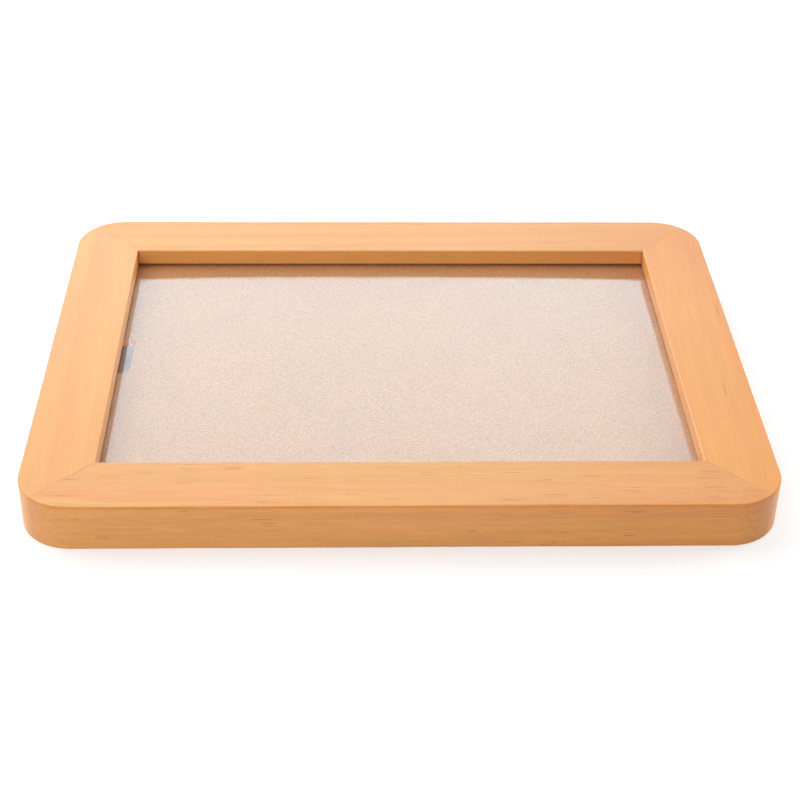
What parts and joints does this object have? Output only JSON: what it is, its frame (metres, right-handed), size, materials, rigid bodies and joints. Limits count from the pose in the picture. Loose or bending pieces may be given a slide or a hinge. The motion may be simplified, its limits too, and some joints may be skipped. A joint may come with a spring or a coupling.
{
  "type": "wooden photo frame",
  "caption": "Rectangular wooden photo frame with mitred, round-cornered rails, a clear front sheet, a backing board, turn buttons and toothed wall hangers.",
  "frame": {"origin": "middle of the back face, on the plane that the rails' back rims lie on", "axes": "+X along the long side, +Y across the short side away from the viewer, +Z out of the picture's face"},
  "size_m": [0.211, 0.16, 0.0144],
  "materials": {
    "lacquered_pine": "clear orange lacquer, satin",
    "clear_plastic": "clear sheet, polished",
    "brown_fibreboard": "bare, fine fibres",
    "plated_steel": "zinc plated"
  },
  "bodies": {
    "frame": {"near_rail": "lacquered_pine", "far_rail": "lacquered_pine", "left_rail": "lacquered_pine", "right_rail": "lacquered_pine", "clear_sheet": "clear_plastic", "backing_board": "brown_fibreboard", "button_screw_near_left": "plated_steel", "button_screw_near_right": "plated_steel", "button_screw_far_left": "plated_steel", "button_screw_far_right": "plated_steel", "hanger_landscape": "plated_steel", "hanger_portrait": "plated_steel", "hanger_nail_landscape_first": "plated_steel", "hanger_nail_landscape_second": "plated_steel", "hanger_nail_portrait_first": "plated_steel", "hanger_nail_portrait_second": "plated_steel", "v_nail_near_left": "plated_steel", "v_nail_near_right": "plated_steel", "v_nail_far_left": "plated_steel", "v_nail_far_right": "plated_steel"},
    "button_near_left": {"turn_button_near_left": "plated_steel"},
    "button_near_right": {"turn_button_near_right": "plated_steel"},
    "button_far_left": {"turn_button_far_left": "plated_steel"},
    "button_far_right": {"turn_button_far_right": "plated_steel"}
  },
  "joints": [
    {"name": "near_left_button_turn", "type": "hinge", "parent": "frame", "child": "button_near_left", "pos_m": [-0.05106, -0.0688, 0.0041], "axis": [0, 0, 1], "range_deg": [-90, 90]},
    {"name": "near_right_button_turn", "type": "hinge", "parent": "frame", "child": "button_near_right", "pos_m": [0.05106, -0.0688, 0.0041], "axis": [0, 0, 1], "range_deg": [-90, 90]},
    {"name": "far_left_button_turn", "type": "hinge", "parent": "frame", "child": "button_far_left", "pos_m": [-0.05106, 0.0688, 0.0041], "axis": [0, 0, 1], "range_deg": [-90, 90]},
    {"name": "far_right_button_turn", "type": "hinge", "parent": "frame", "child": "button_far_right", "pos_m": [0.05106, 0.0688, 0.0041], "axis": [0, 0, 1], "range_deg": [-90, 90]}
  ]
}
